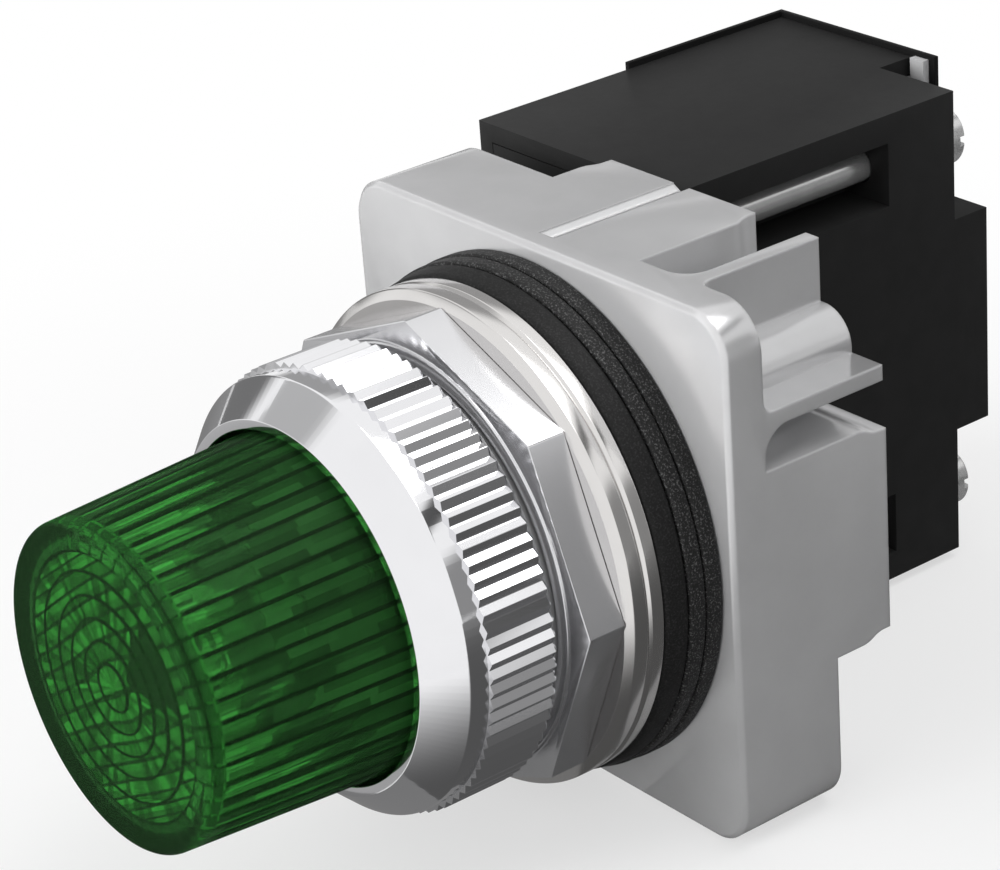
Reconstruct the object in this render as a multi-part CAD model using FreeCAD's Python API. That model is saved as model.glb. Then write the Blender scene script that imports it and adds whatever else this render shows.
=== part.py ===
import FreeCAD, Part
import math
import os

# Panel pilot light, millimetres. The lamp's axis is the Y axis and the lens looks along -Y.
# The origin is on that axis, in the front face of the square housing, and +Z is up.

V = FreeCAD.Vector
ORIGIN = V(0, 0, 0)
AXIS = V(0, 1, 0)

# Clearances
thread_fit = 0.05
running_fit = 0.08
slip_fit = 0.15
loose_fit = 0.3
full_turn = 360
step_overlap = 0.5

# Housing, a die-cast square cup with a cross-shaped rear
housing_width = 41.3
corner_radius = 3.4
edge_bevel = 0.35
plate_thickness = 3.3
wall = 1.8
skirt_depth = 9.4
cross_depth = 14.6
cross_half_width = 8.45
cross_rear_half_width = 7.9
ogee_start = 11.9
ogee_length = 2.1
groove_width = 1.7
groove_depth = 0.5
groove_start = 1.9

# Corner blade, shelf and screw boss, on one diagonal of the housing
blade_offset = 13.3
blade_thickness = 1.3
shelf_offset = 11.6
shelf_thickness = 1.2
rib_depth = 14.4
pocket_fillet = 2.2
corner_fillet = 0.9
corner_boss_radius = 2.7
corner_boss_inset = 0.35
corner_hole_radius = 1.3
corner_hole_depth = 8.0

# Bosses that take the module's long screws
module_screw_x = 4.0
screw_boss_inset = 5.65
screw_boss_radius = 2.8

# Threaded neck
neck_radius = 14.9
neck_bore = 12.05
neck_length = 18.0
neck_chamfer = 0.6

# Gaskets and washers on the neck, from the housing forward
gasket_radius = 19.5
gasket_thickness = 1.45
gasket_bore_gap = 0.3
front_gasket_thickness = 1.9
gasket_step = 0.12
front_gasket_taper = 0.35
washer_radius = 18.8
rear_washer_thickness = 1.45
front_washer_thickness = 1.6
washer_bevel = 0.4
front_washer_chamfer = 0.75

# Octagonal mounting nut
nut_corner_radius = 18.25
nut_sides = 8
nut_thickness = 3.1
nut_collar_radius = 16.1
nut_collar_height = 0.25

# Knurled bezel ring
bezel_rear_gap = 1.3
bezel_length = 9.7
bezel_lens_gap = 0.35
bezel_rim_width = 0.75
bezel_band_radius = 16.3
bezel_cone_length = 2.5
bezel_band_length = 1.5
bezel_lip_length = 2.8
knurl_radius = 16.75
knurl_depth = 0.6
knurl_teeth = 90

# Lens
lens_length = 15.8
lens_base_radius = 12.8
lens_front_radius = 11.95
lens_edge_chamfer = 0.45
lens_wall = 1.5
lens_front_thickness = 1.5
lens_flange_reach = 1.2
lens_flange_thickness = 0.75
lens_flute_count = 45
lens_flute_depth = 0.35
lens_rib_gap = 0.55
lens_floor_inset = 0.2
lens_ring_start = 2.2
lens_ring_count = 5
lens_ring_pitch = 1.6
lens_ring_depth = 0.35
lens_gasket_thickness = 0.6
lens_gasket_width = 1.9

# Lamp, with a bayonet base
lamp_tip_y = -1.5
lamp_tip_radius = 1.5
lamp_tip_length = 0.9
lamp_base_radius = 4.6
lamp_base_length = 11.0
lamp_base_wall = 0.35
lamp_insulator_length = 1.2
lamp_glass_radius = 5.0
lamp_glass_length = 17.0
lamp_glass_wall = 0.5
lamp_glass_seat = 3.0
pin_radius = 0.8
pin_reach = 5.35
pin_from_tip = 6.7
lamp_dome_steps = 3
filament_radius = 0.15
filament_half_length = 2.0
support_wire = 0.2
bead_length = 1.0
lamp_travel = 1.0

# Lamp socket
shell_wall = 0.4
shell_shoulder_gap = 0.3
shell_slot_turn = 60
shell_rim = 0.45
barrel_radius = 6.5
barrel_reach = 5.5
socket_flange_thickness = 2.0
socket_flange_width = 12.6
socket_flange_height = 22.8
chamber_radius = 2.5
plunger_radius = 2.25
plunger_length = 6.0
plunger_front_length = 1.0
stem_radius = 0.8
stem_length = 6.0
strip_thickness = 0.4
strip_width = 1.4
contact_disc_radius = 3.2
spring_wire = 0.25
spring_radius = 1.6
spring_turns = 5
spring_steps = 12

# Transformer module
module_width = 23.3
module_right = -0.6
module_inset = 0.75
module_depth = 32.05
module_wall = 1.5
slot_floor_depth = 4.9
slot_width_z = 5.2
slot_length = 21.4
notch_width = 8.1
notch_reach = 5.85
notch_depth = 3.55
inner_wall = 1.7
rear_wall = 5.15
base_thickness = 2.2

# Rear cover, a thin guard on the module's left and rear
cover_thickness = 0.45
cover_rise = 0.5
cover_side_length = 17.1
cover_right = 18.2
cover_window_width = 9.6
cover_window_height = 9.3
cover_window_edge = 1.0

# Transformer
coil_room = 1.15
coil_length = 5.4
coil_build = 3.3
bobbin_wall = 0.6
lamination_fit = 0.1

# Terminals
terminal_x = -15.0
terminal_inset = 5.5
terminal_plate_thickness = 0.6
terminal_plate_right = -6.8
terminal_plate_width = 13.0
terminal_plate_reach = 4.0
terminal_tab_width = 1.5
terminal_tab_rise = 0.15
clamp_width = 8.0
clamp_height = 7.4
clamp_thickness = 0.9
clamp_lip = 0.9
terminal_screw_radius = 1.75
terminal_screw_length = 5.2
terminal_head_radius = 2.9
terminal_head_height = 1.9
slot_width = 0.8
slot_depth = 0.8

# Long mounting screws
long_screw_radius = 1.35
long_screw_engagement = 8.0
long_head_radius = 2.55
long_head_height = 1.8
lock_washer_radius = 2.3
lock_washer_thickness = 0.6
lock_washer_gap = 0.5

# Contact rivets
rivet_head_radius = 1.0
rivet_head_height = 0.5
rivet_shank_radius = 0.6
centre_rivet_x = -4.2
shell_rivet_x = -3.4
shell_rivet_z = 2.9

# Coil leads
lead_radius = 0.4
lead_hole_x = -18.2

# Places that follow from the sizes
half_width = housing_width / 2
module_screw_z = half_width - screw_boss_inset
gasket_bore = neck_radius + gasket_bore_gap
middle_gasket_y = -gasket_thickness
front_gasket_y = middle_gasket_y - gasket_thickness
rear_washer_y = front_gasket_y - front_gasket_thickness
front_washer_y = rear_washer_y - rear_washer_thickness
nut_y = front_washer_y - front_washer_thickness
nut_front_y = nut_y - nut_thickness
bezel_hole_radius = lens_base_radius + bezel_lens_gap
bezel_front_radius = bezel_hole_radius + bezel_rim_width
lens_flange_radius = lens_base_radius + lens_flange_reach
bezel_rear_y = nut_front_y - nut_collar_height - bezel_rear_gap
bezel_front_y = bezel_rear_y - bezel_length
bezel_seat_y = bezel_front_y + bezel_lip_length
lens_front_y = bezel_front_y - lens_length
lens_flange_rear_y = -neck_length - lens_gasket_thickness
lens_flange_front_y = lens_flange_rear_y - lens_flange_thickness
lens_inner_front_y = lens_front_y + lens_front_thickness
lens_rib_front_y = lens_inner_front_y + lens_rib_gap
lens_bore_radius = lens_base_radius - lens_wall
shell_bore = lamp_base_radius + slip_fit
shell_radius = shell_bore + shell_wall
lamp_base_rear_y = lamp_tip_y - lamp_tip_length
lamp_base_front_y = lamp_base_rear_y - lamp_base_length
shell_front_y = lamp_base_front_y + lamp_travel + shell_shoulder_gap
pin_y = lamp_tip_y - pin_from_tip
barrel_floor_y = lamp_tip_y + plunger_front_length
spring_front_y = lamp_tip_y + plunger_length
module_front_y = cross_depth
module_rear_y = module_front_y + module_depth
module_left = module_right - module_width
module_top = half_width - module_inset
terminal_z = module_top - terminal_inset
slot_low = module_screw_z - slot_width_z / 2
slot_high = module_screw_z + slot_width_z / 2
notch_low = module_screw_z - notch_reach
notch_y = module_rear_y - notch_depth
notch_x = module_right - notch_width
slot_rear_y = module_front_y + slot_length
slot_floor_x = module_right - slot_floor_depth
cavity_rear_y = module_rear_y - rear_wall
cavity_front_y = module_front_y + base_thickness
cover_rear_y = module_rear_y + cover_thickness
cover_top = module_top + cover_rise
disc_front_y = module_front_y - strip_thickness
module_middle_x = module_left + module_width / 2
coil_half_width = module_width / 2 - module_wall - coil_room
lamination_stack = 2 * (coil_half_width - coil_build - bobbin_wall - lamination_fit)
module_middle_y = (cavity_front_y + cavity_rear_y) / 2


def lathe(points, turn=full_turn):
    """Turn a closed outline of (radius, y) points about the lamp's axis."""
    corners = [V(radius, y, 0) for radius, y in points]
    face = Part.Face(Part.makePolygon(corners + [corners[0]]))
    return face.revolve(ORIGIN, AXIS, turn)


def rod(radius, y_start, y_end, x=0, z=0):
    return Part.makeCylinder(radius, y_end - y_start, V(x, y_start, z), AXIS)


def tube(outer, inner, y_start, y_end, x=0, z=0):
    return rod(outer, y_start, y_end, x, z).cut(rod(inner, y_start - 1, y_end + 1, x, z))


def block(x_range, y_range, z_range):
    size = [high - low for low, high in (x_range, y_range, z_range)]
    return Part.makeBox(*size, V(x_range[0], y_range[0], z_range[0]))


def prism_along_y(points, y_start, y_end):
    corners = [V(x, y_start, z) for x, z in points]
    face = Part.Face(Part.makePolygon(corners + [corners[0]]))
    return face.extrude(V(0, y_end - y_start, 0))


def edges_along_y(shape, radius_test):
    """Edges parallel to the axis whose distance from it passes a test."""
    found = []
    for edge in shape.Edges:
        ends = [vertex.Point for vertex in edge.Vertexes]
        if len(ends) != 2:
            continue
        run = ends[1] - ends[0]
        if abs(run.x) + abs(run.z) < 0.001 and radius_test(math.hypot(ends[0].x, ends[0].z)):
            found.append(edge)
    return found


def swap_x_and_z(shape):
    return shape.mirror(ORIGIN, V(1, 0, -1))


def save(node, shape):
    if shape.ShapeType == "Compound" and len(shape.Solids) == 1:
        shape = shape.Solids[0]
    shape.exportStep("parts/" + node + ".step")


def rounded_square(half, radius, y_start, y_end):
    shape = block((-half, half), (y_start, y_end), (-half, half))
    return shape.makeFillet(radius, edges_along_y(shape, lambda distance: True))


def cross_outline(side, arm):
    """Corners of a plus sign that reaches side and has arms of half width arm."""
    quarter = [(arm, side), (arm, arm), (side, arm)]
    points = []
    for turn in range(4):
        for x, z in quarter:
            for _ in range(turn):
                x, z = z, -x
            points.append((x, z))
    return points


def ogee_side(sign):
    """Two tangent arcs that take one cheek from its front width to its rear width."""
    run = ogee_length / 2
    rise = (cross_half_width - cross_rear_half_width) / 2
    radius = (run * run + rise * rise) / (2 * rise)
    half_turn = math.asin(run / radius) / 2
    sag = radius * (1 - math.cos(half_turn))
    reach = radius * math.sin(half_turn)
    end_y = ogee_start + ogee_length
    start = V(sign * cross_half_width, ogee_start, 0)
    first = V(sign * (cross_half_width - sag), ogee_start + reach, 0)
    middle = V(sign * (cross_half_width - rise), ogee_start + run, 0)
    second = V(sign * (cross_rear_half_width + sag), end_y - reach, 0)
    end = V(sign * cross_rear_half_width, end_y, 0)
    return [Part.Arc(start, first, middle).toShape(), Part.Arc(middle, second, end).toShape()]


def ogee_arm(rear_y):
    """One centre panel with its cheeks, as a flat outline that narrows by an ogee, made solid."""
    ogee_end = ogee_start + ogee_length
    line = Part.makeLine
    edges = []
    for sign in (1, -1):
        front = V(sign * cross_half_width, 0, 0)
        rear = V(sign * cross_rear_half_width, rear_y, 0)
        edges.append(line(front, V(sign * cross_half_width, ogee_start, 0)))
        edges += ogee_side(sign)
        edges.append(line(V(sign * cross_rear_half_width, ogee_end, 0), rear))
    edges.append(line(V(-cross_half_width, 0, 0), V(cross_half_width, 0, 0)))
    edges.append(line(V(-cross_rear_half_width, rear_y, 0), V(cross_rear_half_width, rear_y, 0)))
    face = Part.Face(Part.Wire(Part.__sortEdges__(edges)))
    arm = face.extrude(V(0, 0, 2 * half_width))
    arm.translate(V(0, 0, -half_width))
    return arm


def corner_rib(low, thickness, low_radius, high_radius, start, end):
    """A rib standing on the plate's rear face, filleted at its root, that runs along Z."""
    high = low + thickness
    root = plate_thickness
    bend = math.sqrt(0.5)
    points = [
        V(low - low_radius, root, 0), V(low, root + low_radius, 0), V(low, rib_depth, 0),
        V(high, rib_depth, 0), V(high, root + high_radius, 0), V(high + high_radius, root, 0),
        V(high + high_radius, root - step_overlap, 0), V(low - low_radius, root - step_overlap, 0),
    ]
    low_middle = V(low - low_radius * (1 - bend), root + low_radius * (1 - bend), 0)
    high_middle = V(high + high_radius * (1 - bend), root + high_radius * (1 - bend), 0)
    edges = [Part.Arc(points[0], low_middle, points[1]).toShape()]
    edges += [Part.makeLine(points[1], points[2]), Part.makeLine(points[2], points[3])]
    edges += [Part.makeLine(points[3], points[4])]
    edges += [Part.Arc(points[4], high_middle, points[5]).toShape()]
    for first, second in ((5, 6), (6, 7), (7, 0)):
        edges.append(Part.makeLine(points[first], points[second]))
    rib = Part.Face(Part.Wire(edges)).extrude(V(0, 0, end - start))
    rib.translate(V(0, 0, start))
    return rib


def corner_group():
    """Blade, shelf and half-round boss in the upper right corner of the housing's rear."""
    boss_x = blade_offset + blade_thickness + corner_boss_inset
    boss_z = shelf_offset + shelf_thickness + corner_boss_inset
    blade = corner_rib(blade_offset, blade_thickness, pocket_fillet, corner_fillet, boss_z, half_width)
    shelf = swap_x_and_z(
        corner_rib(shelf_offset, shelf_thickness, pocket_fillet, corner_fillet, boss_x, half_width)
    )
    boss = rod(corner_boss_radius, plate_thickness - step_overlap, rib_depth, boss_x, boss_z)
    hole = rod(corner_hole_radius, rib_depth - corner_hole_depth, rib_depth + 1, boss_x, boss_z)
    return blade.fuse([shelf, boss]).cut(hole)


def housing():
    front = rounded_square(half_width, corner_radius, 0, plate_thickness)
    rim = [edge for edge in front.Edges if all(abs(v.Y) < 0.001 for v in edge.Vertexes)]
    front = front.makeChamfer(edge_bevel, rim)
    skirt = rounded_square(half_width, corner_radius, plate_thickness, skirt_depth)
    hollow = rounded_square(half_width - wall, corner_radius - wall, plate_thickness, skirt_depth + 1)
    body = front.fuse(skirt.cut(hollow))

    upright_arm = ogee_arm(cross_depth)
    across_arm = swap_x_and_z(upright_arm)
    cross = upright_arm.fuse(across_arm)
    cross = cross.cut(block((-half_width, half_width), (-1, plate_thickness), (-half_width, half_width)))
    cross_hollow = prism_along_y(
        cross_outline(half_width - wall, cross_half_width - wall), plate_thickness, cross_depth + 1
    )
    corner_cut = block(
        (cross_half_width, half_width + 1), (plate_thickness, cross_depth + 1),
        (cross_half_width, half_width + 1),
    )
    group = corner_group()
    for turn in (0, 180):
        cut = corner_cut.copy()
        cut.rotate(ORIGIN, AXIS, turn)
        body = body.cut(cut)
    body = body.fuse(cross).cut(cross_hollow)
    for turn in (0, 180):
        turned = group.copy()
        turned.rotate(ORIGIN, AXIS, turn)
        body = body.fuse(turned)

    for x in (-module_screw_x, module_screw_x):
        for z in (-module_screw_z, module_screw_z):
            boss = rod(screw_boss_radius, plate_thickness - step_overlap, cross_depth, x, z)
            reach = half_width - wall / 2
            low, high = sorted((z, math.copysign(reach, z)))
            web = block(
                (x - wall / 2, x + wall / 2), (plate_thickness - step_overlap, cross_depth), (low, high)
            )
            hole = rod(long_screw_radius + thread_fit, plate_thickness + 1, cross_depth + 1, x, z)
            body = body.fuse([boss, web]).cut(hole)

    neck = lathe([
        (neck_bore, step_overlap), (neck_radius, step_overlap), (neck_radius, -neck_length + neck_chamfer),
        (neck_radius - neck_chamfer, -neck_length), (neck_bore, -neck_length),
    ])
    body = body.fuse(neck)
    body = body.cut(rod(barrel_radius + slip_fit, -1, plate_thickness + 1))
    groove = block(
        (-groove_width / 2, groove_width / 2), (groove_start, cross_depth + 1),
        (half_width - groove_depth, half_width + 1),
    )
    return body.cut(groove).removeSplitter()


def flat_gasket(radius, y_rear, thickness, taper=0):
    return lathe([
        (gasket_bore, y_rear), (radius, y_rear), (radius - taper, y_rear - thickness),
        (gasket_bore, y_rear - thickness),
    ])


def rear_washer():
    bore = neck_radius + slip_fit
    front = rear_washer_y - rear_washer_thickness
    return lathe([
        (bore, rear_washer_y), (washer_radius, rear_washer_y), (washer_radius, front + washer_bevel),
        (washer_radius - washer_bevel, front), (bore, front),
    ])


def front_washer():
    bore = neck_radius + slip_fit
    front = front_washer_y - front_washer_thickness
    return lathe([
        (bore, front_washer_y), (washer_radius, front_washer_y), (washer_radius, front + washer_bevel),
        (washer_radius - front_washer_chamfer, front), (bore, front),
    ])


def mounting_nut():
    bore = neck_radius + thread_fit
    corners = []
    for side in range(nut_sides):
        angle = 2 * math.pi * side / nut_sides
        corners.append((nut_corner_radius * math.sin(angle), nut_corner_radius * math.cos(angle)))
    body = prism_along_y(corners, nut_front_y, nut_y)
    collar = rod(nut_collar_radius, nut_front_y - nut_collar_height, nut_front_y + step_overlap)
    middle_y = nut_front_y - nut_collar_height / 2
    rim = [edge for edge in collar.Edges if all(v.Y < middle_y for v in edge.Vertexes)]
    collar = collar.makeChamfer(nut_collar_height / 2, rim)
    return body.fuse(collar).cut(rod(bore, nut_front_y - 1, nut_y + 1)).removeSplitter()


def knurl_cutter(y_start, y_end):
    """The ring outside a star of pointed teeth."""
    points = []
    root = knurl_radius - knurl_depth
    for tooth in range(knurl_teeth):
        for share, radius in ((0, knurl_radius), (0.5, root)):
            angle = 2 * math.pi * (tooth + share) / knurl_teeth
            points.append((radius * math.sin(angle), radius * math.cos(angle)))
    star = prism_along_y(points, y_start, y_end)
    return rod(knurl_radius + 1, y_start, y_end).cut(star)


def bezel_ring():
    cone_rear = bezel_front_y + bezel_cone_length
    knurl_front = cone_rear + bezel_band_length
    bore = neck_radius + thread_fit
    blank = lathe([
        (bezel_hole_radius, bezel_front_y), (bezel_front_radius, bezel_front_y),
        (bezel_band_radius, cone_rear), (bezel_band_radius, knurl_front),
        (knurl_radius, knurl_front), (knurl_radius, bezel_rear_y),
        (bore, bezel_rear_y), (bore, bezel_seat_y), (bezel_hole_radius, bezel_seat_y),
    ])
    return blank.cut(knurl_cutter(knurl_front, bezel_rear_y + 1))


def fluted_corners(radius, y):
    """Corners of a star whose points are the roots of the ribs round the lens bore."""
    corners = []
    for flute in range(lens_flute_count):
        for share, depth in ((0, 0), (0.5, lens_flute_depth)):
            angle = 2 * math.pi * (flute + share) / lens_flute_count
            reach = radius * (1 + depth / lens_bore_radius)
            corners.append(V(reach * math.sin(angle), y, reach * math.cos(angle)))
    return corners


def fluted_bore():
    """The tapered room inside the lens, with flat sides between two stars."""
    rear = fluted_corners(lens_bore_radius, lens_flange_rear_y)
    front = fluted_corners(lens_front_radius - lens_wall, lens_rib_front_y)
    outlines = [rear, front]
    for index in range(len(rear)):
        outlines.append([rear[index - 1], rear[index], front[index], front[index - 1]])
    faces = [Part.Face(Part.makePolygon(corners + [corners[0]])) for corners in outlines]
    return Part.Solid(Part.Shell(faces))


def lens():
    corner = lens_edge_chamfer
    body = lathe([
        (0, lens_flange_rear_y), (lens_flange_radius, lens_flange_rear_y),
        (lens_flange_radius, lens_flange_front_y), (lens_base_radius, lens_flange_front_y),
        (lens_base_radius, bezel_front_y), (lens_front_radius, lens_front_y + corner),
        (lens_front_radius - corner, lens_front_y), (0, lens_front_y),
    ])
    levels = (lens_inner_front_y + lens_ring_depth, lens_inner_front_y)
    floor = [(0, lens_rib_front_y), (0, levels[0])]
    for ring in range(lens_ring_count):
        radius = lens_ring_start + ring * lens_ring_pitch
        floor.append((radius, levels[ring % 2]))
        floor.append((radius, levels[(ring + 1) % 2]))
    edge_radius = lens_front_radius - lens_wall - lens_floor_inset
    floor += [(edge_radius, levels[lens_ring_count % 2]), (edge_radius, lens_rib_front_y)]
    return body.cut([fluted_bore(), lathe(floor)])


def lens_gasket():
    inner = neck_bore + running_fit
    return tube(inner + lens_gasket_width, inner, -neck_length - lens_gasket_thickness, -neck_length)


def bulb_outline(radius, seat_radius, shoulder_y, rear_y):
    """Half outline of the bulb from its rear to its tip, with the dome in straight steps."""
    dome_y = lamp_base_front_y - lamp_glass_length + lamp_glass_radius
    points = [(seat_radius, rear_y), (seat_radius, shoulder_y), (radius, shoulder_y)]
    for step in range(lamp_dome_steps + 1):
        angle = math.pi / 2 * step / lamp_dome_steps
        points.append((radius * math.cos(angle), dome_y - radius * math.sin(angle)))
    return points


def lamp_glass():
    rear = lamp_base_front_y + lamp_glass_seat
    seat = lamp_base_radius - lamp_base_wall
    outer = lathe([(0, rear)] + bulb_outline(lamp_glass_radius, seat, lamp_base_front_y, rear))
    inner = lathe([(0, rear + 1)] + bulb_outline(
        lamp_glass_radius - lamp_glass_wall, seat - lamp_glass_wall,
        lamp_base_front_y - lamp_glass_wall, rear + 1,
    ))
    return outer.cut(inner)


def lamp_filament():
    """A filament across two supports that a glass bead holds in the throat of the bulb."""
    bead_y = lamp_base_front_y + lamp_glass_seat / 2
    coil_y = lamp_base_front_y - lamp_glass_length / 2
    throat = lamp_base_radius - lamp_base_wall - lamp_glass_wall - running_fit
    body = rod(throat, bead_y, bead_y + bead_length)
    for z in (-filament_half_length, filament_half_length):
        body = body.fuse(rod(support_wire, coil_y, bead_y + step_overlap, 0, z))
    coil = Part.makeCylinder(
        filament_radius, 2 * filament_half_length, V(0, coil_y + filament_radius, -filament_half_length)
    )
    return body.fuse(coil).removeSplitter()


def lamp_base():
    rear = lamp_base_rear_y
    front = lamp_base_front_y
    radius = lamp_base_radius
    cap = lathe([
        (radius, front), (radius, rear - radius / 4), (radius * 0.75, rear),
        (lamp_tip_radius + 1, rear), (lamp_tip_radius + 1, rear - lamp_base_wall),
        (radius * 0.75 - lamp_base_wall / 2, rear - lamp_base_wall),
        (radius - lamp_base_wall, rear - radius / 4 - lamp_base_wall / 2), (radius - lamp_base_wall, front),
    ])
    pins = []
    for sign in (-1, 1):
        start = V(sign * (radius - lamp_base_wall), pin_y, 0)
        pins.append(Part.makeCylinder(
            pin_radius, pin_reach - radius + lamp_base_wall, start, V(sign, 0, 0)
        ))
    return cap.fuse(pins).removeSplitter()


def lamp_insulator():
    rear = lamp_base_rear_y
    hole = lamp_tip_radius + 1
    body = rod(hole, rear - lamp_insulator_length, rear + lamp_tip_length / 2)
    return body.cut(rod(lamp_tip_radius / 2, rear - 2 * lamp_insulator_length, rear + 1))


def lamp_tip():
    seat = lamp_base_rear_y + lamp_tip_length / 2
    head = Part.makeSphere(lamp_tip_radius, V(0, lamp_tip_y - lamp_tip_radius, 0))
    head = head.common(rod(lamp_tip_radius, seat, lamp_tip_y + 1))
    return head.fuse(rod(lamp_tip_radius / 2, lamp_base_rear_y - lamp_insulator_length, seat + 0.05))


def socket_shell():
    """A metal sleeve with a rolled rim and two hooked slots for the lamp's pins."""
    rear = barrel_floor_y - strip_thickness
    front = shell_front_y
    body = lathe([
        (shell_bore, rear), (shell_radius, rear), (shell_radius, front + shell_rim),
        (shell_radius + shell_rim, front), (shell_bore + shell_rim / 2, front),
        (shell_bore, front + shell_rim),
    ])
    half = pin_radius + slip_fit
    track_rear = pin_y + lamp_travel + half
    track_front = track_rear - 2 * half
    reach = shell_radius + 1
    entry = block((0, reach), (front - 1, track_rear), (-half, half))
    entry.rotate(ORIGIN, AXIS, -shell_slot_turn)
    hook = block((0, reach), (pin_y - pin_radius, track_rear), (-half, half))
    track = lathe(
        [(0, track_front), (reach, track_front), (reach, track_rear), (0, track_rear)], shell_slot_turn
    )
    track.rotate(ORIGIN, AXIS, -shell_slot_turn)
    slot = entry.fuse([hook, track])
    opposite = slot.copy()
    opposite.rotate(ORIGIN, AXIS, full_turn / 2)
    return body.cut([slot, opposite])


def shell_leg(gap, y_start, y_end):
    """The straight leg of the shell's contact strip, or the slot that it passes through."""
    return block(
        (shell_rivet_x - strip_thickness / 2 - gap, shell_rivet_x + strip_thickness / 2 + gap),
        (y_start, y_end),
        (shell_rivet_z - strip_width / 2 - gap, shell_rivet_z + strip_width / 2 + gap),
    )


def centre_strip_outline(gap, y_start, y_end):
    """A disc with one arm that reaches over the centre rivet."""
    disc = rod(contact_disc_radius + gap, y_start, y_end)
    arm = block(
        (centre_rivet_x - rivet_head_radius - gap, 0), (y_start, y_end),
        (-rivet_head_radius - gap, rivet_head_radius + gap),
    )
    return disc.fuse(arm).removeSplitter()


def socket_body():
    """Moulded insulator: a barrel with a rectangular flange that seats behind the plate."""
    front = -barrel_reach
    barrel = rod(barrel_radius, front, module_front_y)
    flange = block(
        (-socket_flange_width / 2, socket_flange_width / 2),
        (plate_thickness, plate_thickness + socket_flange_thickness),
        (-socket_flange_height / 2, socket_flange_height / 2),
    )
    mouth = rod(shell_radius + running_fit, front - 1, barrel_floor_y)
    chamber = rod(chamber_radius, barrel_floor_y - 1, module_front_y)
    slot = shell_leg(running_fit, barrel_floor_y - 1, module_front_y + 1)
    recess = centre_strip_outline(running_fit, disc_front_y, module_front_y + 1)
    return barrel.fuse(flange).cut([mouth, chamber, slot, recess]).removeSplitter()


def shell_contact_strip():
    """A ring under the socket shell with one leg that runs back to the module."""
    front = barrel_floor_y - strip_thickness
    ring = tube(shell_radius, chamber_radius, front, barrel_floor_y)
    return ring.fuse(shell_leg(0, front, module_front_y)).removeSplitter()


def centre_contact_strip():
    return centre_strip_outline(0, disc_front_y, module_front_y)


def centre_contact():
    """The sprung plunger that the lamp's tip rests on."""
    plunger = rod(plunger_radius, lamp_tip_y, spring_front_y)
    stem = rod(stem_radius, spring_front_y, spring_front_y + stem_length)
    return plunger.fuse(stem).removeSplitter()


def contact_spring():
    """A coil spring with a square wire section, lofted from turn to turn."""
    length = disc_front_y - spring_front_y - 2 * spring_wire
    steps = spring_turns * spring_steps
    sections = []
    for step in range(steps + 1):
        angle = 2 * math.pi * step / spring_steps
        y = spring_front_y + spring_wire + length * step / steps
        corners = []
        for out, along in ((-1, -1), (1, -1), (1, 1), (-1, 1)):
            reach = spring_radius + out * spring_wire
            corners.append(V(reach * math.sin(angle), y + along * spring_wire, reach * math.cos(angle)))
        sections.append(Part.makePolygon(corners + [corners[0]]))
    return Part.makeLoft(sections, True, True)


def module_cavity(shrink, y_start, y_end):
    """The room inside the module: full height behind the slots, and a bulge between them."""
    main = block(
        (module_left + module_wall + shrink, slot_floor_x - inner_wall - shrink), (y_start, y_end),
        (-module_top + module_wall + shrink, module_top - module_wall - shrink),
    )
    bulge_top = slot_low - inner_wall - shrink
    bulge = block(
        (module_left + module_wall + shrink, module_right - module_wall - shrink), (y_start, y_end),
        (-bulge_top, bulge_top),
    )
    return main.fuse(bulge).removeSplitter()


def module_case():
    """Moulded case with a screw slot in its right face, and a notched rear for the screw heads."""
    body = block((module_left, module_right), (module_front_y, module_rear_y), (-module_top, module_top))
    cuts = [module_cavity(0, module_front_y - 1, cavity_rear_y)]
    for sign in (-1, 1):
        low, high = sorted((sign * slot_low, sign * slot_high))
        cuts.append(block((slot_floor_x, module_right + 1), (module_front_y - 1, slot_rear_y), (low, high)))
        low, high = sorted((sign * notch_low, sign * (module_top + 1)))
        cuts.append(block((notch_x, module_right + 1), (notch_y, module_rear_y + 1), (low, high)))
        screw_z = sign * module_screw_z
        cuts.append(rod(
            long_screw_radius + slip_fit, slot_rear_y - 1, module_rear_y + 1, -module_screw_x, screw_z
        ))
        plate_low = terminal_z - terminal_plate_reach - running_fit
        plate_low, plate_high = sorted((sign * plate_low, sign * (terminal_z + terminal_plate_reach)))
        cuts.append(block(
            (terminal_plate_right - terminal_plate_width - running_fit, module_right + 1),
            (module_rear_y - terminal_plate_thickness, module_rear_y + 1), (plate_low, plate_high),
        ))
        tapped = rod(
            terminal_screw_radius + thread_fit, terminal_hole_rear_y(), module_rear_y + 1,
            terminal_x, sign * terminal_z,
        )
        cuts.append(tapped)
        cuts.append(rod(
            lead_radius + running_fit, cavity_rear_y - 1, module_rear_y, lead_hole_x, sign * terminal_z
        ))
    return body.cut(cuts).removeSplitter()


def terminal_hole_rear_y():
    return module_rear_y - terminal_plate_thickness + clamp_thickness - terminal_screw_length + slip_fit


def rivet_places():
    return ((centre_rivet_x, 0), (shell_rivet_x, shell_rivet_z))


def module_base():
    """The plate that closes the module's front and carries the two contact rivets."""
    plate = module_cavity(running_fit, module_front_y, cavity_front_y)
    holes = []
    for x, z in rivet_places():
        holes.append(rod(rivet_shank_radius, module_front_y - 1, cavity_front_y + 1, x, z))
        holes.append(rod(rivet_head_radius, module_front_y - 1, module_front_y + rivet_head_height, x, z))
    return plate.cut(holes)


def contact_rivets():
    rivets = []
    for x, z in rivet_places():
        head = rod(rivet_head_radius, module_front_y, module_front_y + rivet_head_height, x, z)
        shank = rod(rivet_shank_radius, module_front_y, cavity_front_y, x, z)
        rivets.append(head.fuse(shank).removeSplitter())
    return Part.makeCompound(rivets)


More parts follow.
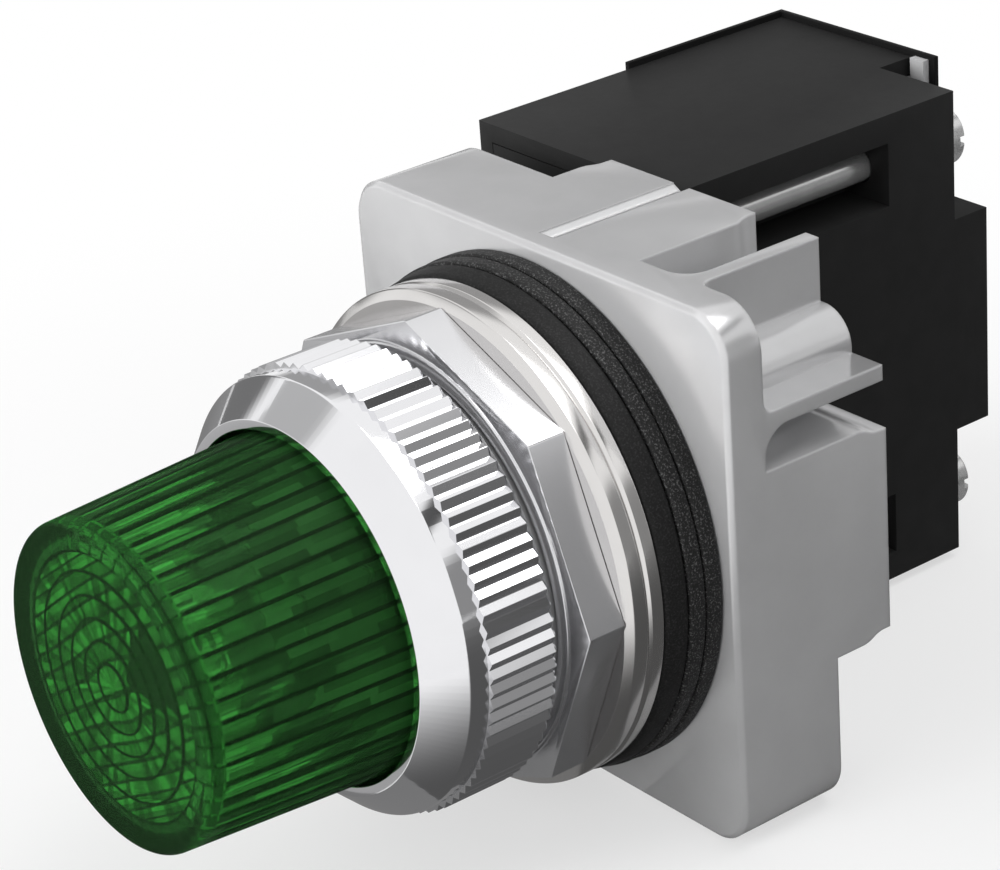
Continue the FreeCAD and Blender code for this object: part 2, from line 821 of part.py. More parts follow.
def rear_cover():
    """A thin folded guard: a wall on the left, a wall behind, and a window at each terminal."""
    rear_right = module_left + cover_right - cover_thickness
    side = block(
        (module_left - cover_thickness, module_left), (cover_rear_y - cover_side_length, cover_rear_y),
        (-cover_top, cover_top),
    )
    back = block(
        (module_left - cover_thickness, rear_right), (module_rear_y, cover_rear_y), (-cover_top, cover_top)
    )
    windows = []
    for sign in (-1, 1):
        window_top = module_top - cover_window_edge
        low, high = sorted((sign * (window_top - cover_window_height), sign * window_top))
        windows.append(block(
            (terminal_x - cover_window_width / 2, terminal_x + cover_window_width / 2),
            (module_rear_y - 1, cover_rear_y + 1), (low, high),
        ))
        windows.append(rod(
            long_head_radius + loose_fit, module_rear_y - 1, cover_rear_y + 1,
            -module_screw_x, sign * module_screw_z,
        ))
    return side.fuse(back).cut(windows).removeSplitter()


def core_leg_half_width():
    return (cavity_rear_y - cavity_front_y - 2 * lamination_fit) / 6


def bobbin_half_height():
    return coil_length + 1.5 * bobbin_wall


def transformer_core():
    """Shell-type laminated core with a centre leg that stands upright."""
    leg = core_leg_half_width()
    window_top = bobbin_half_height() + lamination_fit
    half_height = window_top + leg
    x_range = (module_middle_x - lamination_stack / 2, module_middle_x + lamination_stack / 2)
    y_range = (module_middle_y - 3 * leg, module_middle_y + 3 * leg)
    body = block(x_range, y_range, (-half_height, half_height))
    windows = []
    for sign in (-1, 1):
        low, high = sorted((module_middle_y + sign * leg, module_middle_y + sign * 2 * leg))
        windows.append(block((x_range[0] - 1, x_range[1] + 1), (low, high), (-window_top, window_top)))
    return body.cut(windows)


def around_leg(build_start, build_end, z_start, z_end):
    """A rectangular ring round the centre leg, between two distances from it."""
    rings = []
    for build in (build_end, build_start):
        half_x = lamination_stack / 2 + build
        half_y = core_leg_half_width() + build
        rings.append(block(
            (module_middle_x - half_x, module_middle_x + half_x),
            (module_middle_y - half_y, module_middle_y + half_y), (z_start, z_end),
        ))
    return rings[0].cut(rings[1])


def coil_bobbin():
    start = lamination_fit
    tube_end = start + bobbin_wall
    half = bobbin_half_height()
    body = around_leg(start, tube_end, -half, half)
    for z in (-half, -bobbin_wall / 2, half - bobbin_wall):
        body = body.fuse(around_leg(start, tube_end + coil_build, z, z + bobbin_wall))
    return body.removeSplitter()


def coil(sign):
    """Winding on one half of the bobbin, with rounded outer corners."""
    inner = lamination_fit + bobbin_wall
    low, high = sorted((sign * bobbin_wall / 2, sign * (bobbin_wall / 2 + coil_length)))
    ring = around_leg(inner, inner + coil_build, low, high)
    inner_corner = math.hypot(lamination_stack / 2 + inner, core_leg_half_width() + inner)
    corners = []
    for edge in ring.Edges:
        first, last = [vertex.Point for vertex in edge.Vertexes]
        distance = math.hypot(first.x - module_middle_x, first.y - module_middle_y)
        if abs(first.z - last.z) > coil_length / 2 and distance > inner_corner + coil_build / 2:
            corners.append(edge)
    return ring.makeFillet(coil_build / 2, corners)


def wire(points):
    """A wire with a six-sided section along straight runs that meet in sharp bends."""
    pieces = []
    last = len(points) - 2
    for index, (start, end) in enumerate(zip(points, points[1:])):
        start, end = V(*start), V(*end)
        along = (end - start).normalize() * lead_radius
        side = V(along.y, along.z, along.x)
        across = along.cross(side) * (1 / lead_radius)
        start = start - along if index > 0 else start
        end = end + along if index < last else end
        corners = []
        for corner in range(6):
            angle = math.pi * corner / 3
            corners.append(start + side * math.cos(angle) + across * math.sin(angle))
        pieces.append(Part.Face(Part.makePolygon(corners + [corners[0]])).extrude(end - start))
    return pieces[0].fuse(pieces[1:])


def coil_leads():
    """Wires from the primary coil to the terminal plates and from the secondary to the rivets."""
    reach = lamination_stack / 2 + lamination_fit + bobbin_wall + coil_build + lead_radius
    left = module_middle_x - reach
    right = module_middle_x + reach
    primary_z = bobbin_wall + coil_length / 2
    plate_y = module_rear_y - terminal_plate_thickness
    bend_y = cavity_rear_y - 2 * lead_radius - running_fit
    leads = []
    for sign, start_y in ((1, module_middle_y - 2), (-1, module_middle_y + 2)):
        z = sign * terminal_z
        leads.append(wire([
            (left, start_y, primary_z), (left, start_y, z), (left, bend_y, z),
            (lead_hole_x, bend_y, z), (lead_hole_x, plate_y, z),
        ]))
    bend_y = cavity_front_y + 2 * lead_radius
    for start_y, (x, z) in zip((module_middle_y - 2, module_middle_y + 2), rivet_places()):
        leads.append(wire([
            (right, start_y, -primary_z), (right, start_y, z), (right, bend_y, z),
            (x, bend_y, z), (x, cavity_front_y, z),
        ]))
    return Part.makeCompound(leads)


def terminal_plate(sign):
    """A brass plate let into the module's rear face, with a tab that shows in the notch."""
    y_range = (module_rear_y - terminal_plate_thickness, module_rear_y)
    high = terminal_z + terminal_plate_reach - running_fit
    low, high = sorted((sign * (terminal_z - terminal_plate_reach), sign * high))
    plate = block((terminal_plate_right - terminal_plate_width, terminal_plate_right), y_range, (low, high))
    low, high = sorted((sign * (terminal_z - terminal_plate_reach), sign * (module_top + terminal_tab_rise)))
    tab = block((terminal_plate_right - terminal_tab_width, terminal_plate_right), y_range, (low, high))
    return plate.fuse(tab).removeSplitter().cut(rod(
        terminal_screw_radius + thread_fit, module_rear_y - 2, module_rear_y + 1,
        terminal_x, sign * terminal_z,
    ))


def saddle_clamp(sign):
    """A square clamp with two lips turned down over the wire."""
    front = module_rear_y
    rear = front + clamp_lip + clamp_thickness
    x_range = (terminal_x - clamp_width / 2, terminal_x + clamp_width / 2)
    z = sign * terminal_z
    body = block(x_range, (front, rear), (z - clamp_height / 2, z + clamp_height / 2))
    body = body.makeFillet(clamp_thickness / 2, [
        edge for edge in body.Edges
        if all(v.Y > rear - 0.001 for v in edge.Vertexes)
        and abs(edge.Vertexes[0].X - edge.Vertexes[1].X) < 0.001
    ])
    channel = block(
        (x_range[0] + clamp_thickness, x_range[1] - clamp_thickness), (front - 1, front + clamp_lip),
        (z - clamp_height, z + clamp_height),
    )
    hole = rod(terminal_screw_radius + slip_fit, front - 1, rear + 1, terminal_x, z)
    return body.cut([channel, hole])


def slotted_screw(x, z, head_y, head_radius, head_height, shank_radius, shank_length):
    """A cheese-head screw that looks along +Y, with its head seated at head_y."""
    head = rod(head_radius, head_y, head_y + head_height, x, z)
    rim = [edge for edge in head.Edges if all(v.Y > head_y + head_height / 2 for v in edge.Vertexes)]
    head = head.makeChamfer(head_height / 5, rim)
    shank = rod(shank_radius, head_y - shank_length, head_y + head_height / 4, x, z)
    tip = [edge for edge in shank.Edges if all(v.Y < head_y - shank_length / 2 for v in edge.Vertexes)]
    shank = shank.makeChamfer(shank_radius / 4, tip)
    slot = block(
        (x - head_radius, x + head_radius), (head_y + head_height - slot_depth, head_y + head_height + 1),
        (z - slot_width / 2, z + slot_width / 2),
    )
    return head.fuse(shank).cut(slot).removeSplitter()


def terminal_screw(sign):
    seat = module_rear_y + clamp_lip + clamp_thickness
    return slotted_screw(
        terminal_x, sign * terminal_z, seat, terminal_head_radius, terminal_head_height,
        terminal_screw_radius, terminal_screw_length,
    )


def mounting_screw(sign):
    seat = notch_y + lock_washer_thickness
    length = seat - cross_depth + long_screw_engagement
    return slotted_screw(
        -module_screw_x, sign * module_screw_z, seat, long_head_radius, long_head_height,
        long_screw_radius, length,
    )


def lock_washer(sign):
    """A split spring washer under the head of a long screw."""
    z = sign * module_screw_z
    ring = tube(
        lock_washer_radius, long_screw_radius + slip_fit, notch_y, notch_y + lock_washer_thickness,
        -module_screw_x, z,
    )
    split = block(
        (-module_screw_x - lock_washer_gap / 2, -module_screw_x + lock_washer_gap / 2),
        (notch_y - 1, notch_y + 1 + lock_washer_thickness), (z, z + 2 * lock_washer_radius),
    )
    return ring.cut(split)


def main():
    os.makedirs("parts", exist_ok=True)
    save("housing", housing())
    save("rear_gasket", flat_gasket(gasket_radius, 0, gasket_thickness))
    save("middle_gasket", flat_gasket(gasket_radius - gasket_step, middle_gasket_y, gasket_thickness))
    save("front_gasket", flat_gasket(
        gasket_radius - 2 * gasket_step, front_gasket_y, front_gasket_thickness, front_gasket_taper
    ))
    save("rear_washer", rear_washer())
    save("front_washer", front_washer())
    save("mounting_nut", mounting_nut())
    save("bezel_ring", bezel_ring())
    save("lens", lens())
    save("lens_gasket", lens_gasket())
    save("lamp_glass", lamp_glass())
    save("lamp_filament", lamp_filament())
    save("lamp_base", lamp_base())
    save("lamp_insulator", lamp_insulator())
    save("lamp_tip", lamp_tip())
    save("socket_shell", socket_shell())
    save("socket_body", socket_body())
    save("shell_contact_strip", shell_contact_strip())
    save("centre_contact_strip", centre_contact_strip())
    save("centre_contact", centre_contact())
    save("contact_spring", contact_spring())
    save("module_case", module_case())
    save("module_base", module_base())
    save("contact_rivets", contact_rivets())
    save("rear_cover", rear_cover())
    save("transformer_core", transformer_core())
    save("coil_bobbin", coil_bobbin())
    save("primary_coil", coil(1))
    save("secondary_coil", coil(-1))
    save("coil_leads", coil_leads())
    for name, sign in (("upper", 1), ("lower", -1)):
        save(name + "_terminal_plate", terminal_plate(sign))
        save(name + "_saddle_clamp", saddle_clamp(sign))
        save(name + "_terminal_screw", terminal_screw(sign))
        save(name + "_mounting_screw", mounting_screw(sign))
        save(name + "_lock_washer", lock_washer(sign))


main()
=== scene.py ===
import math

import bmesh
import bpy
from mathutils import Matrix, Vector

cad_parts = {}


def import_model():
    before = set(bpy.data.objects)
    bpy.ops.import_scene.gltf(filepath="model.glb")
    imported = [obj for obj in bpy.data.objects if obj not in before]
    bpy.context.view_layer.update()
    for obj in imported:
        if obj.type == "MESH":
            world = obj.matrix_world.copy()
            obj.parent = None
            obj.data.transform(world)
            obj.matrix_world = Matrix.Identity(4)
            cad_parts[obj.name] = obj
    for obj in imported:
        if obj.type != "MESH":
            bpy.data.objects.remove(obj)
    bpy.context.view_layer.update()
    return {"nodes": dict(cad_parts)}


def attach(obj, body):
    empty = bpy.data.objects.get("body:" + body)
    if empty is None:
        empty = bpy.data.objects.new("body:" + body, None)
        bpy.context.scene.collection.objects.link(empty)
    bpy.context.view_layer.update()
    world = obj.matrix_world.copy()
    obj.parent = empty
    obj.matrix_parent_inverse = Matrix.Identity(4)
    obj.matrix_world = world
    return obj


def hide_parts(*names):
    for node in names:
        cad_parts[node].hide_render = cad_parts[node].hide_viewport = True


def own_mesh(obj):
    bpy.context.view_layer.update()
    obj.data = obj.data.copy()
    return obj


# Dressed model of the panel pilot light, in the CAD model's frame: the lamp's axis is Y, the lens
# looks along -Y and +Z is up. Pieces are given in millimetres, which mm() and MM turn into metres.
# Materials and the stage are in metres.

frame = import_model()

MM = 0.001
FULL = 2 * math.pi
ORIGIN = (0, 0, 0)

LENS_RIBS = 45
TILES_PER_METRE = 260.0
RINGS_PER_METRE = 621.0

# Bump distances, tints, and the reach over which the floor and the painted-reflection cards and mats shade
# outwards
FINE_GRAIN, COARSE_GRAIN, THREAD_DEPTH = 0.00002, 0.00006, 0.0010
NEUTRAL, PALE, COOL = (1, 1, 1), (0.99, 0.99, 1.0), (0.98, 0.98, 1.0)
FLOOR_FADE, CARD_FADE, MAT_FADE = (0.03, 0.13), (0.55, 1.0), (0.03, 0.25)

# Metals: name, light and dark level, metallic, roughness span, noise scale, bump, tint
METALS = (
    ("cast_satin", 0.64, 0.61, 0.50, (0.17, 0.22), 300, 0, PALE),
    ("chrome", 0.88, 0.85, 1.0, (0.07, 0.10), 200, 0, COOL),
    ("nut_plate", 0.78, 0.75, 0.97, (0.21, 0.26), 200, 0, COOL),
    ("warm_nickel", 0.76, 0.72, 1.0, (0.14, 0.18), 200, 0, (1.0, 0.98, 0.965)),
    ("screw_steel", 0.76, 0.68, 0.75, (0.18, 0.26), 500, 0, NEUTRAL),
    ("spring_steel", 0.42, 0.34, 1.0, (0.25, 0.35), 900, 0.03, NEUTRAL),
    ("tinned_terminal", 0.84, 0.78, 0.4, (0.22, 0.30), 400, 0, PALE),
    ("contact_brass", 0.72, 0.60, 1.0, (0.22, 0.34), 700, 0.03, (1.0, 0.78, 0.42)),
    ("lamp_nickel", 0.62, 0.52, 1.0, (0.22, 0.32), 600, 0.03, (1.0, 0.93, 0.78)),
    ("solder", 0.55, 0.42, 1.0, (0.30, 0.45), 1500, 0.15, NEUTRAL),
    ("filament", 0.16, 0.10, 1.0, (0.35, 0.50), 2000, 0.05, NEUTRAL),
)

# Dark mouldings: name, level, roughness span, noise scale of the grain
MOULDINGS = (
    ("black_moulding", 0.021, (0.40, 0.46), 2600),
    ("cover_sheet", 0.009, (0.42, 0.54), 1800),
    ("socket_moulding", 0.030, (0.42, 0.55), 1800),
    ("seal_rubber", 0.020, (0.55, 0.70), 2200),
)

# Gasket rubbers: name, level, level of the specks, bump
RUBBERS = (
    ("gasket_rubber", 0.016, 0.100, 0.40),
    ("gasket_smooth", 0.010, 0.022, 0.20),
)

# Materials in bands: name, metallic, wave scale, distortion and direction, two ramp stops,
# roughness span, bump and its distance
BANDED = (
    ("core_laminations", 0.8, 320.0, 0.6, "X", (0.15, (0.05, 0.05, 0.05)), (0.6, (0.22, 0.22, 0.22)),
     (0.55, 0.40), 0.4, 0.00005),
    ("coil_copper", 1.0, 700.0, 0.4, "Z", (0.2, (0.20, 0.06, 0.02)), (0.7, (0.62, 0.24, 0.10)),
     (0.45, 0.28), 0.6, COARSE_GRAIN),
)

# Plain materials: name, two colours and their noise, roughness span and its noise, settings
PLAIN = (
    ("bobbin_moulding", (0.62, 0.58, 0.47), (0.72, 0.68, 0.57), (500, 3), (0.42, 0.55), (900, 2), {}),
    ("lead_sleeve", (0.55, 0.36, 0.03), (0.68, 0.47, 0.05), (800, 3), (0.40, 0.55), (900, 2), {}),
    ("base_insulator", (0.010, 0.010, 0.014), (0.022, 0.022, 0.030), (900, 3), (0.10, 0.20), (700, 2), {}),
    ("lamp_glass", (0.96, 0.97, 0.96), (1.0, 1.0, 1.0), (120, 2), (0.0, 0.03), (200, 2),
     {"IOR": 1.50, "Transmission_Weight": 1.0}),
)

# Lens plastic, in the order of the cap's material slots: name, share of the dull body, clear red
# or blue and green levels, dull colour, tiles
GREENS = (
    ("green_lens", 0.06, (0.52, 0.84), (0.008, 0.022, 0.008), None),
    # The second row is near-black dull green for the rib valleys and ring steps: painted shade standing in
    # for the dark lines that refraction makes.
    ("green_lens_valley", 0.90, (0.20, 0.50), (0.004, 0.008, 0.004), None),
    ("green_lens_land", 0.28, (0.50, 0.86), (0.060, 0.100, 0.060), "ribs"),
    ("green_lens_ring", 0.40, (0.42, 0.80), (0.020, 0.044, 0.020), "rings"),
    ("green_lens_shoulder", 0.50, (0.36, 0.66), (0.026, 0.070, 0.028), None),
)

# CAD nodes that stay as they are, with their materials
LOOKS = {
    "housing": "cast_satin", "mounting_nut": "nut_plate", "lens_gasket": "seal_rubber",
    "lamp_glass": "lamp_glass", "lamp_filament": "filament", "lamp_base": "lamp_nickel",
    "lamp_insulator": "base_insulator", "lamp_tip": "solder", "socket_shell": "contact_brass",
    "socket_body": "socket_moulding", "shell_contact_strip": "contact_brass",
    "centre_contact_strip": "contact_brass", "centre_contact": "contact_brass",
    "module_case": "black_moulding", "module_base": "black_moulding",
    "contact_rivets": "contact_brass", "rear_cover": "cover_sheet",
    "transformer_core": "core_laminations", "coil_bobbin": "bobbin_moulding",
    "primary_coil": "coil_copper", "secondary_coil": "coil_copper", "coil_leads": "lead_sleeve",
}
PAIRED_LOOKS = {
    "terminal_plate": "tinned_terminal", "saddle_clamp": "screw_steel",
    "terminal_screw": "screw_steel", "mounting_screw": "screw_steel", "lock_washer": "spring_steel",
}
EDGE_WIDTHS = {
    "housing": 0.12, "mounting_nut": 0.12, "module_case": 0.12, "rear_cover": 0.06,
    "upper_saddle_clamp": 0.1, "lower_saddle_clamp": 0.1,
}

# Turned rings: name, replaced node, body, material, slot, bore, outer edge as (radius, y, rounding)
GASKET_BORE, WASHER_BORE = 15.2, 15.05
RINGS = (
    ("rear_gasket_ring", "rear_gasket", "base", "gasket_rubber", "gasket_rubber", GASKET_BORE,
     [(19.5, 0, 0.25), (19.5, -1.42, 0.25)]),
    ("middle_gasket_ring", "middle_gasket", "base", "gasket_rubber", "gasket_rubber", GASKET_BORE,
     [(19.38, -1.48, 0.25), (19.38, -2.87, 0.25)]),
    ("front_gasket_ring", "front_gasket", "base", "gasket_smooth", "gasket_rubber", GASKET_BORE,
     [(19.26, -2.93, 0.25), (18.91, -4.78, 0.5)]),
    ("trim_washer", "rear_washer", "base", "warm_nickel", "nickel", WASHER_BORE,
     [(18.8, -4.82, 0.12), (18.8, -5.85, 0.12), (18.4, -6.23, 0.1)]),
    ("thrust_washer_ring", "front_washer", "thrust_washer", "warm_nickel", "nickel", WASHER_BORE,
     [(18.8, -6.27, 0.12), (18.8, -7.45, 0.2), (18.05, -7.83, 0.1)]),
)

# Painted reflections: glowing grey cards in the white surroundings, seen only by polished surfaces: name,
# place, width and height, level
REFLECTION_CARDS = (
    ("left_reflection_card", (-0.47, 0.00, 0.06), (0.34, 0.44), 0.18),
    ("upper_left_reflection_card", (-0.36, -0.22, 0.28), (0.40, 0.40), 0.50),
    ("rear_left_reflection_card", (-0.36, 0.27, 0.21), (0.60, 0.44), 0.36),
    ("right_reflection_card", (0.42, 0.27, 0.08), (0.60, 0.36), 0.28),
    ("rear_reflection_strip", (0.28, 0.27, 0.36), (0.70, 0.10), 0.08),
)

# Painted reflections: glowing grey mats just above the floor, seen only by polished surfaces, so the floor
# they mirror looks darker than it is: name, span in x, span in y, near and far level, soft front edge in y
REFLECTION_MATS = (
    ("right_reflection_mat", (0.009, 0.40), (-0.052, 0.40), (0.09, 0.20), (-0.052, -0.022)),
    ("left_reflection_mat", (-0.40, 0.009), (-0.030, 0.40), (0.20, 0.26), None),
    ("front_reflection_mat", (-0.40, -0.004), (-0.40, -0.030), (0.37, 0.72), None),
)
FLOOR_Z = -0.0207
MAT_Z = -0.02068

# Lamps: name, place, target, side of the square, power, seen in polished surfaces
LAMPS = (
    ("key", (-0.20, -0.42, 0.26), ORIGIN, 0.45, 2.2, False),
    ("front", (0.02, -0.50, 0.06), ORIGIN, 0.45, 2.0, False),
    ("top", (0.10, 0.12, 0.45), (0, 0.02, 0), 0.30, 1.0, True),
    ("fill", (0.45, 0.00, 0.30), (0, 0.03, 0), 0.30, 0.26, False),
)


def mm(*values):
    return Vector(values) * MM


# ---- node trees and materials


def assign(node, values):
    """Set a node's inputs by name, with _ for each space."""
    for key, value in values.items():
        node.inputs[key.replace("_", " ")].default_value = value


class Nodes:
    """A node tree built step by step. A value is a socket or a plain number."""

    def __init__(self, owner):
        owner.use_nodes = True
        self.tree = owner.node_tree

    def node(self, kind, **inputs):
        made = self.tree.nodes.new("ShaderNode" + kind)
        assign(made, inputs)
        return made

    def link(self, value, target):
        if isinstance(value, (int, float)):
            target.default_value = value
        else:
            self.tree.links.new(value, target)

    def math(self, operation, first, second=0):
        made = self.node("Math")
        made.operation = operation
        self.link(first, made.inputs[0])
        self.link(second, made.inputs[1])
        return made.outputs[0]

    def length(self, vector):
        made = self.node("VectorMath")
        made.operation = "LENGTH"
        self.link(vector, made.inputs[0])
        return made.outputs["Value"]

    def remap(self, value, source=(0, 1), result=(0, 1), smooth=False):
        """Map a value from the source span to the result span."""
        made = self.node("MapRange")
        if smooth:
            made.interpolation_type = "SMOOTHSTEP"
        made.inputs["From Min"].default_value, made.inputs["From Max"].default_value = source
        made.inputs["To Min"].default_value, made.inputs["To Max"].default_value = result
        self.link(value, made.inputs["Value"])
        return made.outputs["Result"]

    def ramp(self, factor, stops):
        """A colour ramp from (position, colour) stops."""
        made = self.node("ValToRGB")
        elements = made.color_ramp.elements
        while len(elements) < len(stops):
            elements.new(0.5)
        for element, (position, colour) in zip(elements, stops):
            element.position = position
            element.color = (*colour, 1)
        self.link(factor, made.inputs["Fac"])
        return made.outputs["Color"]

    def mix(self, share, first, second):
        made = self.node("MixShader")
        for value, socket in zip((share, first, second), made.inputs):
            self.link(value, socket)
        return made.outputs[0]

    def seen_directly(self):
        """1 for rays from the camera, off polished surfaces and through clear ones, or else 0."""
        rays = self.node("LightPath").outputs
        seen = self.math("MAXIMUM", rays["Is Camera Ray"], rays["Is Glossy Ray"])
        return self.math("MAXIMUM", seen, rays["Is Transmission Ray"])


class Shader(Nodes):
    """A node material around one Principled shader."""

    def __init__(self, name, **settings):
        self.name = name
        self.material = bpy.data.materials.new(name)
        super().__init__(self.material)
        self.bsdf = self.tree.nodes["Principled BSDF"]
        assign(self.bsdf, settings)

    def coords(self, scale=(1, 1, 1)):
        """The object's own coordinates, scaled."""
        place = self.node("TexCoord")
        mapping = self.node("Mapping", Scale=scale)
        self.link(place.outputs["Object"], mapping.inputs["Vector"])
        return mapping.outputs["Vector"]

    def noise(self, scale, detail=3, roughness=0.5):
        made = self.node("TexNoise", Scale=scale, Detail=detail, Roughness=roughness)
        self.link(self.coords(), made.inputs["Vector"])
        return made.outputs["Fac"]

    def place(self):
        """The object's own x, y and z as three sockets."""
        split = self.node("SeparateXYZ")
        self.link(self.coords(), split.inputs[0])
        return split.outputs["X"], split.outputs["Y"], split.outputs["Z"]

    def from_axis(self, x, z):
        """Distance from the lamp's axis."""
        squares = self.math("ADD", self.math("POWER", x, 2), self.math("POWER", z, 2))
        return self.math("SQRT", squares)

    def colour(self, factor, stops):
        self.link(self.ramp(factor, stops), self.bsdf.inputs["Base Color"])

    def roughness(self, factor, span):
        self.link(self.remap(factor, result=span), self.bsdf.inputs["Roughness"])

    def bump(self, height, strength, distance):
        made = self.node("Bump", Strength=strength, Distance=distance)
        self.link(height, made.inputs["Height"])
        self.link(made.outputs["Normal"], self.bsdf.inputs["Normal"])
        return made

    def surface(self, socket):
        self.link(socket, self.tree.nodes["Material Output"].inputs["Surface"])


def grey(value, tint=NEUTRAL):
    return tuple(value * part for part in tint)


def satin_metal(name, light, dark, metallic, rough, scale, bump, tint):
    """Metal with a faint mottle in its colour and gloss."""
    shader = Shader(name, Metallic=metallic)
    shader.colour(shader.noise(scale, 4), [(0.3, grey(dark, tint)), (0.7, grey(light, tint))])
    shader.roughness(shader.noise(scale * 0.35), rough)
    if bump:
        shader.bump(shader.noise(scale * 12, 2), bump, FINE_GRAIN)
    return shader


def neck_thread(shader):
    """Height of the fine thread, left on the round neck alone and 0 elsewhere."""
    pitch, neck_radius, slack, shoulder_y = 0.0015, 0.0149, 0.0002, -0.0003
    x, y, z = shader.place()
    turn = shader.math("DIVIDE", shader.math("ARCTAN2", x, z), FULL)
    phase = shader.math("ADD", shader.math("DIVIDE", y, pitch), turn)
    off_neck = shader.math("ABSOLUTE", shader.math("SUBTRACT", shader.from_axis(x, z), neck_radius))
    near_neck = shader.math("LESS_THAN", off_neck, slack)
    on_neck = shader.math("MULTIPLY", near_neck, shader.math("LESS_THAN", y, shoulder_y))
    return shader.math("MULTIPLY", shader.math("PINGPONG", phase, 0.5), on_neck)


def thread_and_edges(shader):
    """The neck's thread as bump, over edges that catch the light as rounded ones do."""
    thread = shader.bump(neck_thread(shader), 0.8, THREAD_DEPTH)
    edges = shader.node("Bevel", Radius=0.00028)
    edges.samples = 4
    shader.link(edges.outputs["Normal"], thread.inputs["Normal"])


def moulding(name, level, rough, grain):
    """Dull dark plastic or rubber with a fine grain."""
    shader = Shader(name, Specular_IOR_Level=0.05)
    shader.colour(shader.noise(grain * 0.2, 4), [(0.3, grey(level * 0.94)), (0.7, grey(level * 1.06))])
    shader.roughness(shader.noise(grain * 0.5), rough)
    shader.bump(shader.noise(grain, 2), 0.05, FINE_GRAIN)
    return shader


def speckled_rubber(name, level, speck, bump):
    """Gasket rubber with paler specks that stand up."""
    shader = Shader(name, Specular_IOR_Level=0.20)
    grains = shader.noise(6500, 2, roughness=0.7)
    shader.colour(grains, [(0.42, grey(level * 0.6)), (0.56, grey(level)), (0.66, grey(speck))])
    shader.roughness(shader.noise(1500), (0.50, 0.70))
    shader.bump(grains, bump, COARSE_GRAIN)
    return shader


def banded(name, metallic, scale, distortion, direction, dark, light, rough, bump, distance):
    """Stacked laminations or wound wire as waves."""
    shader = Shader(name, Metallic=metallic)
    wave = shader.node("TexWave", Scale=scale, Distortion=distortion, Detail=1.0)
    wave.bands_direction = direction
    shader.link(shader.coords(), wave.inputs["Vector"])
    height = wave.outputs["Fac"]
    shader.colour(height, [dark, light])
    shader.roughness(height, rough)
    shader.bump(height, bump, distance)
    return shader


def plain(name, first, second, colour_noise, rough, rough_noise, settings):
    """Smooth plastic or glass that wanders between two colours."""
    shader = Shader(name, **settings)
    shader.colour(shader.noise(*colour_noise), [(0.3, first), (0.7, second)])
    shader.roughness(shader.noise(*rough_noise), rough)
    return shader


def tile_values(shader, tiles):
    """A random value for each half rib, and along it for each short length or inner ring."""
    x, y, z = shader.place()
    half_ribs = shader.math("MULTIPLY", shader.math("ARCTAN2", x, z), 2 * LENS_RIBS / FULL)
    index = shader.math("FLOOR", half_ribs)
    if tiles == "rings":
        along = shader.math("MULTIPLY", shader.from_axis(x, z), RINGS_PER_METRE)
    else:
        start = shader.node("TexWhiteNoise")
        start.noise_dimensions = "1D"
        shader.link(index, start.inputs["W"])
        along = shader.math("ADD", shader.math("MULTIPLY", y, TILES_PER_METRE), start.outputs["Value"])
    pair = shader.node("CombineXYZ")
    shader.link(index, pair.inputs["X"])
    shader.link(shader.math("FLOOR", along), pair.inputs["Y"])
    tile = shader.node("TexWhiteNoise")
    shader.link(pair.outputs[0], tile.inputs["Vector"])
    return tile.outputs["Value"]


def clear_green(name, body, clear_levels, dull, tiles):
    """Dark green plastic: a thin dull body over a refracting one that tints each surface crossed."""
    shader = Shader(name, Specular_IOR_Level=0.10, IOR=1.49)
    shade = tile_values(shader, tiles) if tiles else shader.noise(120)
    least = {"ribs": 0.45, "rings": 0.35}.get(tiles, 0.92)
    full = Vector(dull) / body
    shader.colour(shade, [(0.2, tuple(full * least)), (0.8, tuple(full))])
    shader.roughness(shader.noise(400), (0.10, 0.16))
    low, high = clear_levels
    tint = shader.ramp(shade, [(0.2, (low * least, high * least, low * least)), (0.8, (low, high, low))])
    clear = shader.node("BsdfRefraction", IOR=1.49, Roughness=0.0)
    shader.link(tint, clear.inputs["Color"])
    shader.surface(shader.mix(body, clear.outputs[0], shader.bsdf.outputs[0]))
    return shader


def make_materials():
    made = {}
    for kind, rows in (
        (satin_metal, METALS), (moulding, MOULDINGS), (speckled_rubber, RUBBERS),
        (banded, BANDED), (plain, PLAIN), (clear_green, GREENS),
    ):
        for row in rows:
            shader = kind(*row)
            made[shader.name] = shader
    thread_and_edges(made["cast_satin"])
    return {name: shader.material for name, shader in made.items()}


# ---- meshes


def rounded(points, steps=4):
    """Outline points (radius, y, rounding) turned into (radius, y) with the corners rounded."""
    made = []
    count = len(points)
    for index, (radius, y, rounding) in enumerate(points):
        if rounding == 0:
            made.append((radius, y))
            continue
        here = Vector((radius, y))
        before = Vector(points[index - 1][:2]) - here
        after = Vector(points[(index + 1) % count][:2]) - here
        half = before.angle(after) / 2
        reach = rounding / math.tan(half)
        start = here + before.normalized() * reach
        end = here + after.normalized() * reach
        inward = (before.normalized() + after.normalized()).normalized()
        centre = here + inward * (rounding / math.sin(half))
        first = start - centre
        turn = first.angle_signed(end - centre)
        for step in range(steps + 1):
            spoke = first.copy()
            spoke.rotate(Matrix.Rotation(-turn * step / steps, 2))
            made.append((centre.x + spoke.x, centre.y + spoke.y))
    return made


def loop_round_axis(bm, y, spokes):
    """Vertices about the Y axis from (angle, radius) spokes."""
    return [
        bm.verts.new(mm(radius * math.sin(angle), y, radius * math.cos(angle))) for angle, radius in spokes
    ]


